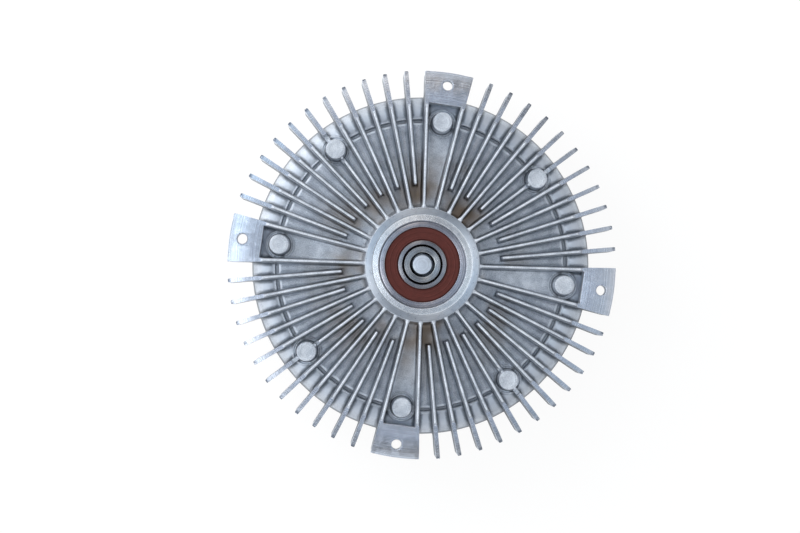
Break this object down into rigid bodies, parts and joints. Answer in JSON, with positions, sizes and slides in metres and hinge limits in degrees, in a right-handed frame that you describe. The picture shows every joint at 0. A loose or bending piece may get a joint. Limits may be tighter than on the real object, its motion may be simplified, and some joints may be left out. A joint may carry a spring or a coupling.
{
  "type": "viscous fan clutch",
  "caption": "Viscous fan clutch: finned cast housing with fan ears turning on a sealed ball bearing round a hollow shaft with a captive centre screw.",
  "frame": {"origin": "on the axis of rotation, in the plane of the front fins' crests on which the clutch lies", "axes": "+Z along the axis of rotation towards the engine side, +X through one fan ear"},
  "size_m": [0.21, 0.21, 0.05],
  "materials": {
    "cast_aluminium": "as cast, with turned fan seats and collar",
    "cover_aluminium": "as cast",
    "rotor_aluminium": "turned",
    "ground_steel": "ground",
    "shaft_steel": "turned and hardened",
    "spring_steel": "phosphated",
    "zinc_steel": "zinc plated",
    "bimetal": "rolled strip",
    "seal_rubber": "moulded, brown",
    "black_rubber": "moulded, black",
    "cage_plastic": "moulded polyamide"
  },
  "bodies": {
    "housing": {"rear_housing": "cast_aluminium", "front_cover": "cover_aluminium", "cover_screws": "zinc_steel", "cover_oring": "black_rubber", "bearing_outer_ring": "ground_steel", "bearing_seal_rear": "seal_rubber", "bearing_seal_front": "seal_rubber", "front_shaft_seal": "black_rubber", "seal_garter_spring": "spring_steel", "partition_plate": "ground_steel", "valve_lever": "spring_steel", "valve_rivet": "ground_steel", "pin_oring": "black_rubber", "bimetal_strip": "bimetal"},
    "shaft": {"drive_shaft": "shaft_steel", "bearing_inner_ring": "ground_steel", "rotor": "rotor_aluminium", "rotor_snap_ring": "spring_steel", "screw_retaining_ring": "spring_steel"},
    "ball_set": {"bearing_cage": "cage_plastic", "bearing_balls": "ground_steel"},
    "washer": {"screw_washer": "zinc_steel"},
    "screw": {"centre_screw": "zinc_steel"},
    "pin": {"control_pin": "ground_steel"}
  },
  "joints": [
    {"name": "shaft_spin", "type": "hinge", "parent": "housing", "child": "shaft", "pos_m": [0, 0, 0.0412], "axis": [0, 0, 1], "continuous": true},
    {"name": "ball_set_spin", "type": "hinge", "parent": "housing", "child": "ball_set", "pos_m": [0, 0, 0.0412], "axis": [0, 0, 1], "continuous": true},
    {"name": "screw_travel", "type": "slide", "parent": "shaft", "child": "washer", "axis": [0, 0, 1], "range_m": [0, 0.0146]},
    {"name": "screw_spin", "type": "hinge", "parent": "washer", "child": "screw", "pos_m": [0, 0, 0.0162], "axis": [0, 0, 1], "continuous": true},
    {"name": "pin_travel", "type": "slide", "parent": "housing", "child": "pin", "axis": [0, 0, -1], "range_m": [0, 0.0012], "deforming": ["bimetal_strip", "valve_lever"]}
  ],
  "couplings": [
    {"joint": "ball_set_spin", "follows": "shaft_spin", "ratio": 0.3815}
  ]
}
